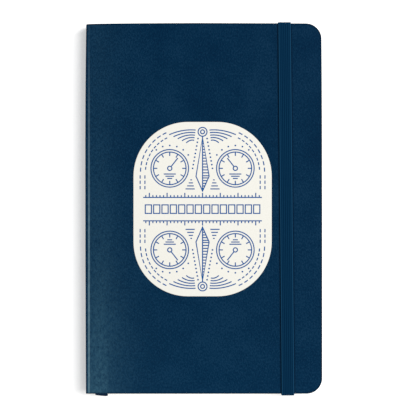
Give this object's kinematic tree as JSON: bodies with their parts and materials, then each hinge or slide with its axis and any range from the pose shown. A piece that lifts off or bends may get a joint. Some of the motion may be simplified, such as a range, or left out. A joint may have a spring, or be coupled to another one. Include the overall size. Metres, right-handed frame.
{
  "type": "pilot logbook",
  "caption": "Soft-cover pocket-size log book: sewn ruled pages in a wrap-round navy cover, held shut by an elastic band, with a cream cover label and a ribbon marker.",
  "frame": {"origin": "middle of the bounding box, on the underside of the back cover", "axes": "+X from the spine to the fore-edge, +Y from the tail to the head, +Z from the back cover to the front cover"},
  "size_m": [0.1334, 0.2114, 0.0148],
  "materials": {
    "skin": "navy leather-like sheet, fine matt grain",
    "card": "thin grey board, bare",
    "endpaper": "plain cream paper, uncoated",
    "page": "ivory writing paper, ruled, uncoated",
    "mull": "open cotton cloth, glued",
    "thread": "twisted white sewing thread",
    "elastic": "navy woven elastic with fine lengthwise ribs",
    "ribbon": "navy satin ribbon, heat-cut end",
    "label": "cream label with fine blue printed lines, matt"
  },
  "bodies": {
    "lower_book": {"back_cover": "skin", "back_cover_card": "card", "back_pastedown": "endpaper", "back_flyleaf": "endpaper", "signature_01": "page", "signature_02": "page", "signature_03": "page", "signature_04": "page", "signature_05": "page", "signature_06": "page", "lower_spine_lining": "mull", "lower_sewing_thread": "thread", "band_end_head": "elastic", "band_end_tail": "elastic", "ribbon_tab": "ribbon"},
    "upper_pages": {"signature_07": "page", "signature_08": "page", "signature_09": "page", "signature_10": "page", "signature_11": "page", "signature_12": "page", "spine_cover": "skin", "upper_spine_lining": "mull", "upper_sewing_thread": "thread", "front_flyleaf": "endpaper"},
    "front_board": {"front_cover": "skin", "front_cover_card": "card", "front_pastedown": "endpaper", "cover_label": "label"},
    "band": {"elastic_band": "elastic"},
    "ribbon": {"ribbon_marker": "ribbon"}
  },
  "joints": [
    {"name": "pages_open", "type": "hinge", "parent": "lower_book", "child": "upper_pages", "pos_m": [-0.06673, 0, 0.0072], "axis": [0, -1, 0], "range_deg": [0, 180]},
    {"name": "front_cover_open", "type": "hinge", "parent": "upper_pages", "child": "front_board", "pos_m": [-0.0654, 0, 0.01465], "axis": [0, -1, 0], "range_deg": [0, 180]},
    {"name": "band_swing", "type": "hinge", "parent": "lower_book", "child": "band", "pos_m": [0.04702, 0, 0.007], "axis": [-0.0071, 1, 0], "range_deg": [0, 180], "deforming": ["elastic_band", "band_end_head", "band_end_tail"]},
    {"name": "ribbon_swing", "type": "hinge", "parent": "lower_book", "child": "ribbon", "pos_m": [-0.05858, 0.10128, 0.00673], "axis": [0, 0, 1], "range_deg": [0, 28]}
  ]
}
